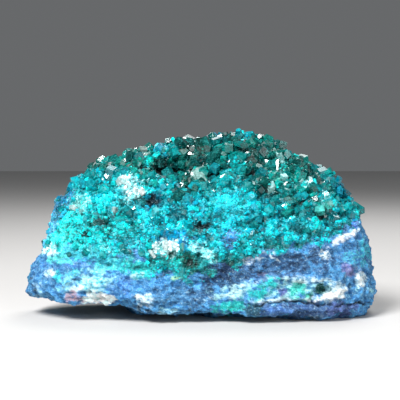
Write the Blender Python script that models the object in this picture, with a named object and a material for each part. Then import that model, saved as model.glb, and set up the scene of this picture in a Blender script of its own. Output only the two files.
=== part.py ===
"""Dioptase on matrix: a loaf-shaped piece of blue shattuckite and chrysocolla rock.

A crust of stubby dioptase crystals covers its front and crown, and it rests on a broken, nearly flat underside.
The front looks along -Y, the width runs along X, and the origin is under the middle, on the surface it rests on.
"""

import math
import random

import bmesh
import bpy
from mathutils import Matrix, Vector, noise

NAME = "dioptase_specimen"
MM = 0.001

# The rock, from below its underside to its crown, in millimetres.
# Each row is a level slice: height, left end, right end, front face, back face.
SLICES = (
    (-6.0, -72.0, 66.0, -24.0, 25.0),
    (0.5, -86.0, 85.0, -34.0, 34.0),
    (6.0, -92.5, 92.5, -39.0, 38.5),
    (13.5, -95.0, 94.0, -41.0, 40.5),
    (24.5, -93.0, 94.0, -40.5, 41.0),
    (35.5, -87.5, 91.5, -37.5, 39.5),
    (46.5, -84.5, 88.5, -33.5, 37.0),
    (56.5, -81.0, 84.5, -29.0, 34.0),
    (63.0, -77.5, 80.0, -25.5, 31.5),
    (69.5, -72.5, 75.5, -21.5, 29.0),
    (74.5, -69.0, 70.5, -17.5, 26.0),
    (78.5, -65.0, 65.5, -14.5, 24.0),
    (81.0, -58.0, 60.0, -12.5, 22.5),
    (83.0, -44.5, 52.5, -11.0, 21.0),
    (87.0, -40.5, 46.5, -8.5, 18.5),
    (89.5, -24.0, 43.0, -6.5, 16.5),
    (92.0, -12.0, 40.0, -4.5, 14.0),
    (94.5, 6.0, 34.0, -2.0, 11.0),
)
CROWN = Vector((20.0, 5.0, 96.5))
SQUARE_BASE, SQUARE_CROWN = 0.6, 0.9  # how boxy a slice is: 1 is an ellipse, 0 a rectangle
SPINE_HALF, SPINE_HEIGHT = 55.0, 30.0  # lumps are raised away from this level line

# The broken underside: how high it hangs over the table along x, for the whole depth and for the front only.
# Below zero it is cut off level and rests.
HANG_ALL = (
    (-100.0, 10.0),
    (-84.0, 8.5),
    (-60.0, 7.0),
    (-46.0, 7.5),
    (-34.0, -5.0),
    (-30.0, -9.0),
    (76.0, -9.0),
    (88.0, 1.0),
    (100.0, 5.0),
)
HANG_FRONT = (
    (-95.0, 14.0),
    (-87.0, 12.5),
    (-80.0, 10.5),
    (-72.0, 8.0),
    (-53.0, 9.5),
    (-48.0, 8.5),
    (-44.0, 10.0),
    (-35.0, 6.5),
    (-12.0, 4.5),
    (-1.5, 6.0),
    (6.0, 4.0),
    (27.0, 5.0),
    (40.0, 2.4),
    (60.0, 1.5),
    (71.0, 5.0),
    (86.0, 8.5),
    (95.0, 11.0),
)
HANG_FRONT_Y = -30.0  # the front's height holds to here, and behind it turns into the other
HANG_BACK_LINE = ((-100.0, 10.0), (-5.0, 8.0), (25.0, -4.0), (50.0, -12.0), (100.0, -12.0))
HANG_SOFTNESS = 1.6  # how rounded the lower edge is
HANG_ROUGH = 1.6

# Broken planes of the back and the ends: the way each looks, and its distance from the origin.
BREAKS = (
    ((0.46, 0.86, 0.24), 55.0),
    ((-0.50, 0.84, 0.18), 58.0),
    ((-0.06, 0.84, 0.54), 64.0),
    ((0.22, 0.62, 0.75), 86.0),
    ((0.84, 0.26, 0.47), 93.0),
    ((-0.80, 0.30, 0.52), 91.0),
    ((-0.10, 0.93, -0.36), 34.0),
    ((0.10, 0.99, 0.02), 38.5),
    ((0.95, -0.28, 0.10), 96.0),
    ((-0.90, -0.38, -0.20), 92.0),
)
BREAK_SHARPNESS = 0.93

# Swellings (+) and hollows (-) of the front.
# Each row says what it is, then its x, z, half width, half height, slope in degrees and rise.
FRONT_RELIEF = (
    ("hollow slate band", 32.0, 26.6, 46.0, 6.0, 9.0, -3.6),
    ("green notch over the band", -8.0, 32.0, 13.0, 5.0, 12.0, -3.8),
    ("lens of turquoise below the band", 41.0, 17.0, 32.0, 4.5, 5.0, -1.6),
    ("blue ledge along the foot", 51.0, 5.5, 26.0, 4.0, 2.0, 2.6),
    ("bulging blue left end", -69.0, 21.0, 24.0, 11.0, 0.0, 2.0),
    ("left shoulder", -61.0, 56.0, 15.0, 16.0, 30.0, 2.2),
    ("white crust boss", -38.0, 68.0, 9.0, 8.0, 0.0, 3.6),
    ("boss in the middle", 6.0, 56.0, 15.0, 10.0, -25.0, 2.6),
    ("boss on the right", 57.0, 51.0, 14.0, 10.0, -30.0, 2.4),
    ("ridge under the crown", 30.0, 80.0, 20.0, 6.0, -20.0, 3.0),
    ("white crust knob", -22.0, 38.0, 8.0, 5.0, 20.0, 2.6),
    ("pale knob", 1.0, 37.0, 8.0, 4.0, 35.0, 2.0),
    ("dark cleft under the crown", -13.0, 81.5, 17.0, 5.0, -8.0, -4.2),
    ("dark cleft on the left", -28.0, 55.0, 6.0, 14.0, 35.0, -2.6),
    ("dark cleft on the right", 50.0, 69.0, 7.0, 14.0, 40.0, -3.0),
    ("notch under the foot", -43.5, 10.0, 6.0, 4.0, 0.0, -3.5),
)
FOOT_LENGTH = 16.0  # the underside's share of the surface's length, short because it is mostly cut off
LUMP_SIZE, LUMP_HEIGHT = 25.0, 3.6
KNOB_SIZE, KNOB_HEIGHT = 10.5, 2.2
CREASE_SIZE, CREASE_HEIGHT = 34.0, 4.0  # angular creases of the broken back

# The open pocket in the lower right of the front: its middle, half sizes and turn about Y.
POCKET_AT = Vector((61.0, -38.5, 16.0))
POCKET_HALF = Vector((6.4, 7.0, 3.6))
POCKET_TURN = math.radians(-24.0)

# The lower edge of the crystal crust on the front face, as x and height.
CRUST_EDGE = (
    (-100.0, 32.0),
    (-76.0, 32.0),
    (-48.0, 31.5),
    (-27.0, 27.8),
    (-1.5, 25.2),
    (14.0, 30.0),
    (34.5, 38.0),
    (50.0, 40.5),
    (73.0, 45.5),
    (86.0, 52.5),
    (100.0, 58.0),
)
CRUST_EDGE_BACK = 79.0  # on the back face it only comes down to here
CRUST_FRONT_Y, CRUST_BACK_Y = -12.0, 20.0  # where the one height turns into the other
CRUST_STEP = 1.8  # how far the crust stands out from the bare rock

AROUND, UP = 60, 29  # facets round the rock, and from foot to crown
FRONT_BIAS = 0.22  # the front has more of them than the back

CRYSTALS = 144
CRYSTAL_SEED = 11
CRYSTAL_TRIES = 9000
CRUST_LOWEST = 0.25  # none stand lower than this share of the surface's length
CRYSTAL_RADIUS_LOW, CRYSTAL_RADIUS_CROWN = 2.1, 3.4
FULL_COVER, CROWN_THINNING = 9.0, 0.35  # evens the crystals out over the surface, with more at the crown
CRYSTAL_SPACING = 0.95  # closest centres, in sums of two radii
CRYSTAL_LEAN = 0.6  # most sideways lean from straight out
TIP_TILT = math.radians(51.0)  # a rhombohedral tip face, measured from the crystal's own axis


def between(low, high, share):
    return low + (high - low) * share


def smooth_step(low, high, value):
    share = min(1.0, max(0.0, (value - low) / (high - low)))
    return share * share * (3.0 - 2.0 * share)


def line_height(points, x):
    """The height of a line of (x, height) points over x."""
    for (x0, z0), (x1, z1) in zip(points, points[1:]):
        if x <= x1:
            return between(z0, z1, max(0.0, (x - x0) / (x1 - x0)))
    return points[-1][1]


def slice_at(up):
    """Height, ends and faces of the rock at a share of the way from its foot to its crown."""
    place = up * (len(SLICES) + 1) - 1.0
    if place <= 0.0:
        height, left, right, front, back = SLICES[0]
        middle = ((left + right) / 2, (front + back) / 2)
        share = place + 1.0
        return (
            height,
            between(middle[0], left, share),
            between(middle[0], right, share),
            between(middle[1], front, share),
            between(middle[1], back, share),
        )
    if place >= len(SLICES) - 1:
        share = place - (len(SLICES) - 1)
        crown = (CROWN.z, CROWN.x, CROWN.x, CROWN.y, CROWN.y)
        return tuple(between(a, b, share) for a, b in zip(SLICES[-1], crown))
    low = int(place)
    return tuple(between(a, b, place - low) for a, b in zip(SLICES[low], SLICES[low + 1]))


def row_lengths():
    """How far the surface runs from each slice to the next, from its foot to its crown."""
    rows = [*SLICES, (CROWN.z, CROWN.x, CROWN.x, CROWN.y, CROWN.y)]
    lengths = [FOOT_LENGTH]
    for low, high in zip(rows, rows[1:]):
        rise, left, right, front, _ = (abs(b - a) for a, b in zip(low, high))
        lengths.append(math.hypot(rise, front, (left + right) / 4))
    return lengths


def even_up(share):
    """The share of the way up that lies at a share of the surface's length."""
    lengths = row_lengths()
    left = share * sum(lengths)
    for row, length in enumerate(lengths):
        if left <= length:
            return (row + left / length) / len(lengths)
        left -= length
    return 1.0


def rounded(value, power):
    return math.copysign(abs(value) ** power, value)


def bare_point(angle, up):
    """A point of the rock before its relief, at an angle about Z and a share of the way up."""
    height, left, right, front, back = slice_at(up)
    power = between(SQUARE_BASE, SQUARE_CROWN, up)
    x = (left + right) / 2 + (right - left) / 2 * rounded(math.cos(angle), power)
    y = (front + back) / 2 + (back - front) / 2 * rounded(math.sin(angle), power)
    return Vector((x, y, height))


def outward(point):
    """The way out of the rock from its level spine."""
    along = min(SPINE_HALF, max(-SPINE_HALF, point.x))
    return (point - Vector((along, 0.0, SPINE_HEIGHT))).normalized()


def front_rise(x, z):
    """How far the front stands out at x and z, from its named swellings and hollows."""
    rise = 0.0
    for _, at_x, at_z, half_x, half_z, slope, height in FRONT_RELIEF:
        turn = math.radians(slope)
        across, above = x - at_x, z - at_z
        u = (across * math.cos(turn) + above * math.sin(turn)) / half_x
        v = (above * math.cos(turn) - across * math.sin(turn)) / half_z
        rise += height * math.exp(-(u * u + v * v))
    return rise


def lifted(point):
    """The height of a point, kept above the broken underside."""
    at_front = 1.0 - smooth_step(HANG_FRONT_Y, line_height(HANG_BACK_LINE, point.x), point.y)
    under = between(line_height(HANG_ALL, point.x), line_height(HANG_FRONT, point.x), at_front)
    under += noise.noise(Vector((point.x, point.y, 0.0)) / KNOB_SIZE) * HANG_ROUGH
    below = (under - point.z) / HANG_SOFTNESS
    return point.z + HANG_SOFTNESS * (below if below > 20.0 else math.log1p(math.exp(below)))


def rock_point(angle, up):
    """A point of the rock's surface: slices, underside, broken planes, then lumps and hollows."""
    point = bare_point(angle, up)
    point.z = lifted(point)
    for looks, distance in BREAKS:
        way = Vector(looks).normalized()
        point -= way * max(0.0, way.dot(point) - distance) * BREAK_SHARPNESS
    facing_front = 1.0 - smooth_step(-22.0, 8.0, point.y)
    rise = front_rise(point.x, point.z) * facing_front
    over_edge = point.z - crust_edge(point.x, point.y)
    lump = noise.noise(point / LUMP_SIZE) * LUMP_HEIGHT
    knob = noise.noise(point / KNOB_SIZE + Vector((31.0, 7.0, 3.0))) * KNOB_HEIGHT
    crease = (0.25 - abs(noise.noise(point / CREASE_SIZE + Vector((5.0, 9.0, 2.0))))) * CREASE_HEIGHT
    out = lump + knob + crease * (1.0 - facing_front) + CRUST_STEP * smooth_step(-2.0, 3.0, over_edge)
    return point + Vector((0.0, -rise, 0.0)) + outward(point) * out


def crust_edge(x, y):
    """The height above which crystals grow, over x and y."""
    front = line_height(CRUST_EDGE, x)
    return between(front, CRUST_EDGE_BACK, smooth_step(CRUST_FRONT_Y, CRUST_BACK_Y, y))


def surface_steps(angle, up):
    """The way out of the surface, and how much of it a small step in angle and height covers."""
    step = 0.012
    along = rock_point(angle + step * 2.0, up) - rock_point(angle - step * 2.0, up)
    rising = rock_point(angle, min(1.0, up + step)) - rock_point(angle, max(0.0, up - step))
    normal = along.cross(rising)
    if normal.length < 1e-6:
        return outward(rock_point(angle, up)), 0.0
    return normal.normalized(), normal.length


def crystal_places():
    """Where the large crystals stand: foot, axis, radius and spin of each, none too close to another."""
    rng = random.Random(CRYSTAL_SEED)
    places = []
    for _ in range(CRYSTAL_TRIES):
        angle = rng.uniform(0.0, 2.0 * math.pi)
        up = even_up(rng.uniform(CRUST_LOWEST, 1.0))
        size = rng.uniform(0.8, 1.25)
        lean = Vector((rng.uniform(-1, 1), rng.uniform(-1, 1), rng.uniform(-1, 1)))
        spin = rng.uniform(0.0, math.pi)
        chance = rng.random()
        foot = rock_point(angle, up)
        if foot.z < crust_edge(foot.x, foot.y) + 3.0:
            continue
        normal, cover = surface_steps(angle, up)
        high = smooth_step(42.0, 88.0, foot.z)
        if cover < chance * FULL_COVER * between(1.0, CROWN_THINNING, high):
            continue
        radius = between(CRYSTAL_RADIUS_LOW, CRYSTAL_RADIUS_CROWN, high) * size
        if any((foot - other[0]).length < CRYSTAL_SPACING * (radius + other[2]) for other in places):
            continue
        axis = (normal + lean * CRYSTAL_LEAN).normalized()
        places.append((foot, axis, radius, spin))
        if len(places) == CRYSTALS:
            break
    return places


def new_object(name, bm, collection):
    mesh = bpy.data.meshes.new(name)
    bm.to_mesh(mesh)
    bm.free()
    made = bpy.data.objects.new(name, mesh)
    collection.objects.link(made)
    return made


def make_rock(collection):
    """The rock: a sphere drawn out over the slices, then cut off level where it rests."""
    bm = bmesh.new()
    bmesh.ops.create_uvsphere(bm, u_segments=AROUND, v_segments=UP, radius=1.0)
    for vertex in bm.verts:
        angle = math.atan2(vertex.co.y, vertex.co.x)
        angle -= FRONT_BIAS * math.cos(angle)
        up = even_up(0.5 + math.asin(max(-1.0, min(1.0, vertex.co.z))) / math.pi)
        vertex.co = rock_point(angle, up) * MM
    everything = bm.verts[:] + bm.edges[:] + bm.faces[:]
    cut = bmesh.ops.bisect_plane(
        bm, geom=everything, dist=1e-6, plane_co=(0, 0, 0), plane_no=(0, 0, -1), clear_outer=True
    )
    rim = [item for item in cut["geom_cut"] if isinstance(item, bmesh.types.BMEdge)]
    bmesh.ops.contextual_create(bm, geom=rim)
    bmesh.ops.triangulate(bm, faces=bm.faces[:])
    bmesh.ops.recalc_face_normals(bm, faces=bm.faces[:])
    return new_object(NAME, bm, collection)


def add_crystal(bm, foot, axis, radius, spin):
    """A stubby six-sided crystal with the three-faced tip of dioptase, rooted in the rock."""
    one = bmesh.new()
    root, tall = radius * 1.6, radius * 1.2
    bmesh.ops.create_cone(
        one, cap_ends=True, segments=6, radius1=radius, radius2=radius, depth=root + tall
    )
    bmesh.ops.translate(one, verts=one.verts[:], vec=(0, 0, (tall - root) / 2))
    for third in range(3):
        turn = third * math.tau / 3 + math.pi / 2  # over an edge of the prism, so each tip face is a rhomb
        flat = math.sin(TIP_TILT)
        way = Vector((flat * math.cos(turn), flat * math.sin(turn), math.cos(TIP_TILT)))
        cut = bmesh.ops.bisect_plane(
            one,
            geom=one.verts[:] + one.edges[:] + one.faces[:],
            dist=1e-7,
            plane_co=(0, 0, tall),
            plane_no=way,
            clear_outer=True,
        )
        rim = [item for item in cut["geom_cut"] if isinstance(item, bmesh.types.BMEdge)]
        bmesh.ops.contextual_create(one, geom=rim)
    bmesh.ops.dissolve_degenerate(one, dist=1e-4, edges=one.edges[:])
    turn_up = Vector((0, 0, 1)).rotation_difference(axis).to_matrix().to_4x4()
    place = Matrix.Translation(foot * MM) @ turn_up @ Matrix.Rotation(spin, 4, "Z") @ Matrix.Scale(MM, 4)
    bmesh.ops.transform(one, matrix=place, verts=one.verts[:])
    bmesh.ops.recalc_face_normals(one, faces=one.faces[:])
    scratch = bpy.data.meshes.new("one_crystal")
    one.to_mesh(scratch)
    one.free()
    bm.from_mesh(scratch)
    bpy.data.meshes.remove(scratch)


def make_crystals(collection):
    """All the large crystals in one helper mesh, which the rock is then joined with."""
    bm = bmesh.new()
    for foot, axis, radius, spin in crystal_places():
        add_crystal(bm, foot, axis, radius, spin)
    made = new_object("crystal_helper", bm, collection)
    made.hide_render = True
    made.display_type = "WIRE"
    return made


def make_pocket(collection):
    """The shape of the open pocket, a squashed ball."""
    bm = bmesh.new()
    bmesh.ops.create_icosphere(bm, subdivisions=2, radius=1.0)
    turn = Matrix.Rotation(POCKET_TURN, 4, "Y")
    size = Matrix.Diagonal((*(POCKET_HALF * MM), 1.0))
    bmesh.ops.transform(bm, matrix=Matrix.Translation(POCKET_AT * MM) @ turn @ size, verts=bm.verts[:])
    made = new_object("pocket_helper", bm, collection)
    made.hide_render = True
    made.display_type = "WIRE"
    return made


def crystal_material():
    material = bpy.data.materials.new("dioptase_and_matrix")
    material.use_nodes = True
    shader = material.node_tree.nodes["Principled BSDF"]
    shader.inputs["Base Color"].default_value = (0.03, 0.38, 0.42, 1.0)
    shader.inputs["Roughness"].default_value = 0.35
    shader.inputs["Metallic"].default_value = 0.0
    return material


def joined(rock, helper, operation):
    modifier = rock.modifiers.new(helper.name, "BOOLEAN")
    modifier.operation = operation
    modifier.solver = "EXACT"
    modifier.use_self = operation == "UNION"
    modifier.object = helper


def centre_on_origin(rock, helpers):
    """Slide everything so that the origin lies under the middle of the finished piece."""
    bpy.context.view_layer.update()
    finished = rock.evaluated_get(bpy.context.evaluated_depsgraph_get())
    corners = [Vector(corner) for corner in finished.bound_box]
    middle_x = (min(corner.x for corner in corners) + max(corner.x for corner in corners)) / 2
    middle_y = (min(corner.y for corner in corners) + max(corner.y for corner in corners)) / 2
    for each in (rock, *helpers):
        each.data.transform(Matrix.Translation((-middle_x, -middle_y, 0.0)))


def main():
    for old in list(bpy.data.objects):
        bpy.data.objects.remove(old, do_unlink=True)
    collection = bpy.data.collections.new("dioptase")
    helpers = bpy.data.collections.new("helpers")
    bpy.context.scene.collection.children.link(collection)
    bpy.context.scene.collection.children.link(helpers)
    rock = make_rock(collection)
    rock.data.materials.append(crystal_material())
    pocket = make_pocket(helpers)
    crystals = make_crystals(helpers)
    joined(rock, pocket, "DIFFERENCE")
    joined(rock, crystals, "UNION")
    centre_on_origin(rock, (pocket, crystals))


main()
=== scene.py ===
"""The looks of the dioptase specimen: rock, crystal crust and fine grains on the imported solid."""

import math
import random
from itertools import product

import bpy
import numpy as np
from mathutils import Matrix, Vector, noise


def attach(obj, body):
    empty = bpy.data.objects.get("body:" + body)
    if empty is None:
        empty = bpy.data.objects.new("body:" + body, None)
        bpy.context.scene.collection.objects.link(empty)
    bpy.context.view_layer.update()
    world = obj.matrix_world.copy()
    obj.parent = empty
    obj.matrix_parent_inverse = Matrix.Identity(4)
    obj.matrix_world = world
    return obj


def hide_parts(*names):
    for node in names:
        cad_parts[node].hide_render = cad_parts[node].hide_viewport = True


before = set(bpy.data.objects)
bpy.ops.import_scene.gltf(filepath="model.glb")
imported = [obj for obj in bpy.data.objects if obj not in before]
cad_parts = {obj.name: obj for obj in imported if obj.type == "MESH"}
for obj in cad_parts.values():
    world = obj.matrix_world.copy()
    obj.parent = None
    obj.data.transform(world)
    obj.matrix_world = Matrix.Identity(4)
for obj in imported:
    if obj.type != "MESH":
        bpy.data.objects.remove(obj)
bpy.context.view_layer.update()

MM = 0.001
NODE = "dioptase_specimen"

# the rock's form, in mm, as in the part's source

# level cuts through the rock: height, left, right, front, back
SLICES = (
    (-6.0, -72.0, 66.0, -24.0, 25.0),
    (0.5, -86.0, 85.0, -34.0, 34.0),
    (6.0, -92.5, 92.5, -39.0, 38.5),
    (13.5, -95.0, 94.0, -41.0, 40.5),
    (24.5, -93.0, 94.0, -40.5, 41.0),
    (35.5, -87.5, 91.5, -37.5, 39.5),
    (46.5, -84.5, 88.5, -33.5, 37.0),
    (56.5, -81.0, 84.5, -29.0, 34.0),
    (63.0, -77.5, 80.0, -25.5, 31.5),
    (69.5, -72.5, 75.5, -21.5, 29.0),
    (74.5, -69.0, 70.5, -17.5, 26.0),
    (78.5, -65.0, 65.5, -14.5, 24.0),
    (81.0, -58.0, 60.0, -12.5, 22.5),
    (83.0, -44.5, 52.5, -11.0, 21.0),
    (87.0, -40.5, 46.5, -8.5, 18.5),
    (89.5, -24.0, 43.0, -6.5, 16.5),
    (92.0, -12.0, 40.0, -4.5, 14.0),
    (94.5, 6.0, 34.0, -2.0, 11.0),
)
CROWN = Vector((20.0, 5.0, 96.5))
SQUARE_BASE, SQUARE_CROWN = 0.6, 0.9
SPINE_HALF, SPINE_HEIGHT = 55.0, 30.0
# how high the underside hangs: place across, height
HANG_ALL = (
    (-100.0, 10.0), (-84.0, 8.5), (-60.0, 7.0), (-46.0, 7.5), (-34.0, -5.0), (-30.0, -9.0),
    (76.0, -9.0), (88.0, 1.0), (100.0, 5.0),
)
HANG_FRONT = (
    (-95.0, 14.0), (-87.0, 12.5), (-80.0, 10.5), (-72.0, 8.0), (-53.0, 9.5), (-48.0, 8.5),
    (-44.0, 10.0), (-35.0, 6.5), (-12.0, 4.5), (-1.5, 6.0), (6.0, 4.0), (27.0, 5.0), (40.0, 2.4),
    (60.0, 1.5), (71.0, 5.0), (86.0, 8.5), (95.0, 11.0),
)
HANG_FRONT_Y = -30.0
HANG_BACK_LINE = ((-100.0, 10.0), (-5.0, 8.0), (25.0, -4.0), (50.0, -12.0), (100.0, -12.0))
HANG_SOFTNESS = 1.6
HANG_ROUGH = 1.6
# flat breaks: the way each looks, its distance from the origin
BREAKS = (
    ((0.46, 0.86, 0.24), 55.0),
    ((-0.50, 0.84, 0.18), 58.0),
    ((-0.06, 0.84, 0.54), 64.0),
    ((0.22, 0.62, 0.75), 86.0),
    ((0.84, 0.26, 0.47), 93.0),
    ((-0.80, 0.30, 0.52), 91.0),
    ((-0.10, 0.93, -0.36), 34.0),
    ((0.10, 0.99, 0.02), 38.5),
    ((0.95, -0.28, 0.10), 96.0),
    ((-0.90, -0.38, -0.20), 92.0),
)
BREAK_SHARPNESS = 0.93
# lumps and hollows of the front: what it is, place across, height, half sizes, slope, how far it stands out
FRONT_RELIEF = (
    ("hollow slate band", 32.0, 26.6, 46.0, 6.0, 9.0, -3.6),
    ("green notch over the band", -8.0, 32.0, 13.0, 5.0, 12.0, -3.8),
    ("lens of turquoise below the band", 41.0, 17.0, 32.0, 4.5, 5.0, -1.6),
    ("blue ledge along the foot", 51.0, 5.5, 26.0, 4.0, 2.0, 2.6),
    ("bulging blue left end", -69.0, 21.0, 24.0, 11.0, 0.0, 2.0),
    ("left shoulder", -61.0, 56.0, 15.0, 16.0, 30.0, 2.2),
    ("white crust boss", -38.0, 68.0, 9.0, 8.0, 0.0, 3.6),
    ("boss in the middle", 6.0, 56.0, 15.0, 10.0, -25.0, 2.6),
    ("boss on the right", 57.0, 51.0, 14.0, 10.0, -30.0, 2.4),
    ("ridge under the crown", 30.0, 80.0, 20.0, 6.0, -20.0, 3.0),
    ("white crust knob", -22.0, 38.0, 8.0, 5.0, 20.0, 2.6),
    ("pale knob", 1.0, 37.0, 8.0, 4.0, 35.0, 2.0),
    ("dark cleft under the crown", -13.0, 81.5, 17.0, 5.0, -8.0, -4.2),
    ("dark cleft on the left", -28.0, 55.0, 6.0, 14.0, 35.0, -2.6),
    ("dark cleft on the right", 50.0, 69.0, 7.0, 14.0, 40.0, -3.0),
    ("notch under the foot", -43.5, 10.0, 6.0, 4.0, 0.0, -3.5),
)
FOOT_LENGTH = 16.0
LUMP_SIZE, LUMP_HEIGHT = 25.0, 3.6
KNOB_SIZE, KNOB_HEIGHT = 10.5, 2.2
CREASE_SIZE, CREASE_HEIGHT = 34.0, 4.0
POCKET_AT = Vector((61.0, -38.5, 16.0))
POCKET_HALF = Vector((6.4, 7.0, 3.6))
POCKET_TURN = math.radians(-24.0)
# lower edge of the crystal crust on the front: place across, height
CRUST_EDGE = (
    (-100.0, 32.0), (-76.0, 32.0), (-48.0, 31.5), (-27.0, 27.8), (-1.5, 25.2), (14.0, 30.0),
    (34.5, 38.0), (50.0, 40.5), (73.0, 45.5), (86.0, 52.5), (100.0, 58.0),
)
CRUST_EDGE_BACK = 79.0
CRUST_FRONT_Y, CRUST_BACK_Y = -12.0, 20.0
CRUST_STEP = 1.8
TO_MIDDLE = Vector((1.0247, 0.4418, 0.0))  # from the form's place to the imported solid's

# the solid's large crystals
CRYSTALS, CRYSTAL_SEED, CRYSTAL_TRIES = 144, 11, 9000
CRUST_LOWEST = 0.25
CRYSTAL_RADIUS_LOW, CRYSTAL_RADIUS_CROWN = 2.1, 3.4
FULL_COVER, CROWN_THINNING = 9.0, 0.35
CRYSTAL_SPACING, CRYSTAL_LEAN = 0.95, 0.6
TIP_TILT = math.radians(51.0)


def between(low, high, share):
    return low + (high - low) * share


def smooth_step(low, high, value):
    share = min(1.0, max(0.0, (value - low) / (high - low)))
    return share * share * (3.0 - 2.0 * share)


def line_height(points, x):
    """The height at x of a line through points."""
    for (x0, z0), (x1, z1) in zip(points, points[1:]):
        if x <= x1:
            return between(z0, z1, max(0.0, (x - x0) / (x1 - x0)))
    return points[-1][1]


MIDDLE_X, MIDDLE_Y = sum(SLICES[0][1:3]) / 2, sum(SLICES[0][3:5]) / 2
ROWS = (
    (SLICES[0][0], MIDDLE_X, MIDDLE_X, MIDDLE_Y, MIDDLE_Y),
    *SLICES,
    (CROWN.z, CROWN.x, CROWN.x, CROWN.y, CROWN.y),
)


def slice_at(up):
    """The height and four sides of the level cut at a share of the rows."""
    place = up * (len(ROWS) - 1)
    low = min(int(place), len(ROWS) - 2)
    return tuple(between(a, b, place - low) for a, b in zip(ROWS[low], ROWS[low + 1]))


def row_lengths():
    lengths = [FOOT_LENGTH]
    for low, high in zip(ROWS[1:], ROWS[2:]):
        rise, left, right, front, _ = (abs(b - a) for a, b in zip(low, high))
        lengths.append(math.hypot(rise, front, (left + right) / 4))
    return lengths


ROW_LENGTHS = row_lengths()


def even_up(share):
    """The share of the rows that is a share of the way up the surface."""
    left = share * sum(ROW_LENGTHS)
    for row, length in enumerate(ROW_LENGTHS):
        if left <= length:
            return (row + left / length) / len(ROW_LENGTHS)
        left -= length
    return 1.0


def rounded(value, power):
    return math.copysign(abs(value) ** power, value)


def bare_point(angle, up):
    """A point of the rock before its breaks, lumps and relief."""
    height, left, right, front, back = slice_at(up)
    power = between(SQUARE_BASE, SQUARE_CROWN, up)
    x = (left + right) / 2 + (right - left) / 2 * rounded(math.cos(angle), power)
    y = (front + back) / 2 + (back - front) / 2 * rounded(math.sin(angle), power)
    return Vector((x, y, height))


def outward(point):
    """The way out from the rock's long middle to a point."""
    along = min(SPINE_HALF, max(-SPINE_HALF, point.x))
    return (point - Vector((along, 0.0, SPINE_HEIGHT))).normalized()


def front_rise(x, z):
    """How far the lumps and hollows of the front stand out at a place."""
    rise = 0.0
    for _, at_x, at_z, half_x, half_z, slope, height in FRONT_RELIEF:
        turn = math.radians(slope)
        across, above = x - at_x, z - at_z
        u = (across * math.cos(turn) + above * math.sin(turn)) / half_x
        v = (above * math.cos(turn) - across * math.sin(turn)) / half_z
        rise += height * math.exp(-(u * u + v * v))
    return rise


def lifted(point):
    """A point's height once the underside hangs clear of the ground."""
    at_front = 1.0 - smooth_step(HANG_FRONT_Y, line_height(HANG_BACK_LINE, point.x), point.y)
    under = between(line_height(HANG_ALL, point.x), line_height(HANG_FRONT, point.x), at_front)
    under += noise.noise(Vector((point.x, point.y, 0.0)) / KNOB_SIZE) * HANG_ROUGH
    below = (under - point.z) / HANG_SOFTNESS
    return point.z + HANG_SOFTNESS * (below if below > 20.0 else math.log1p(math.exp(below)))


def rock_point(angle, up):
    """A point of the rock's surface, at an angle about Z and a share of the rows."""
    point = bare_point(angle, up)
    point.z = lifted(point)
    for looks, distance in BREAKS:
        way = Vector(looks).normalized()
        point -= way * max(0.0, way.dot(point) - distance) * BREAK_SHARPNESS
    facing_front = 1.0 - smooth_step(-22.0, 8.0, point.y)
    rise = front_rise(point.x, point.z) * facing_front
    over_edge = point.z - crust_edge(point.x, point.y)
    lump = noise.noise(point / LUMP_SIZE) * LUMP_HEIGHT
    knob = noise.noise(point / KNOB_SIZE + Vector((31.0, 7.0, 3.0))) * KNOB_HEIGHT
    crease = (0.25 - abs(noise.noise(point / CREASE_SIZE + Vector((5.0, 9.0, 2.0))))) * CREASE_HEIGHT
    out = lump + knob + crease * (1.0 - facing_front) + CRUST_STEP * smooth_step(-2.0, 3.0, over_edge)
    return point + Vector((0.0, -rise, 0.0)) + outward(point) * out


def crust_edge(x, y):
    """The height of the crystal crust's lower edge."""
    front = line_height(CRUST_EDGE, x)
    return between(front, CRUST_EDGE_BACK, smooth_step(CRUST_FRONT_Y, CRUST_BACK_Y, y))


def surface_steps(angle, up):
    """The surface's normal at a place, and how much surface is there."""
    step = 0.012
    along = rock_point(angle + step * 2.0, up) - rock_point(angle - step * 2.0, up)
    rising = rock_point(angle, min(1.0, up + step)) - rock_point(angle, max(0.0, up - step))
    normal = along.cross(rising)
    if normal.length < 1e-6:
        return outward(rock_point(angle, up)), 0.0
    return normal.normalized(), normal.length


def crystal_places():
    """Foot, axis, radius and spin of each of the solid's large crystals."""
    rng = random.Random(CRYSTAL_SEED)
    places = []
    for _ in range(CRYSTAL_TRIES):
        angle = rng.uniform(0.0, 2.0 * math.pi)
        up = even_up(rng.uniform(CRUST_LOWEST, 1.0))
        size = rng.uniform(0.8, 1.25)
        lean = Vector((rng.uniform(-1, 1), rng.uniform(-1, 1), rng.uniform(-1, 1)))
        spin = rng.uniform(0.0, math.pi)
        chance = rng.random()
        foot = rock_point(angle, up)
        if foot.z < crust_edge(foot.x, foot.y) + 3.0:
            continue
        normal, cover = surface_steps(angle, up)
        high = smooth_step(42.0, 88.0, foot.z)
        if cover < chance * FULL_COVER * between(1.0, CROWN_THINNING, high):
            continue
        radius = between(CRYSTAL_RADIUS_LOW, CRYSTAL_RADIUS_CROWN, high) * size
        if any((foot - other[0]).length < CRYSTAL_SPACING * (radius + other[2]) for other in places):
            continue
        axis = (normal + lean * CRYSTAL_LEAN).normalized()
        places.append((foot, axis, radius, spin))
        if len(places) == CRYSTALS:
            break
    return places


# camera, set so that a point's place in the photograph can be worked out

PICTURE = 400.0
LENS, SENSOR = 98.2, 36.0
CAMERA_RISE = math.radians(3.0)
CAMERA_AWAY = 600.0
AIM = Vector((-1.65, 0.0, 61.9))

camera_back = Vector((0.0, -math.cos(CAMERA_RISE), math.sin(CAMERA_RISE)))
camera_up = Vector((0.0, math.sin(CAMERA_RISE), math.cos(CAMERA_RISE)))
camera_at = AIM + camera_back * CAMERA_AWAY


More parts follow.
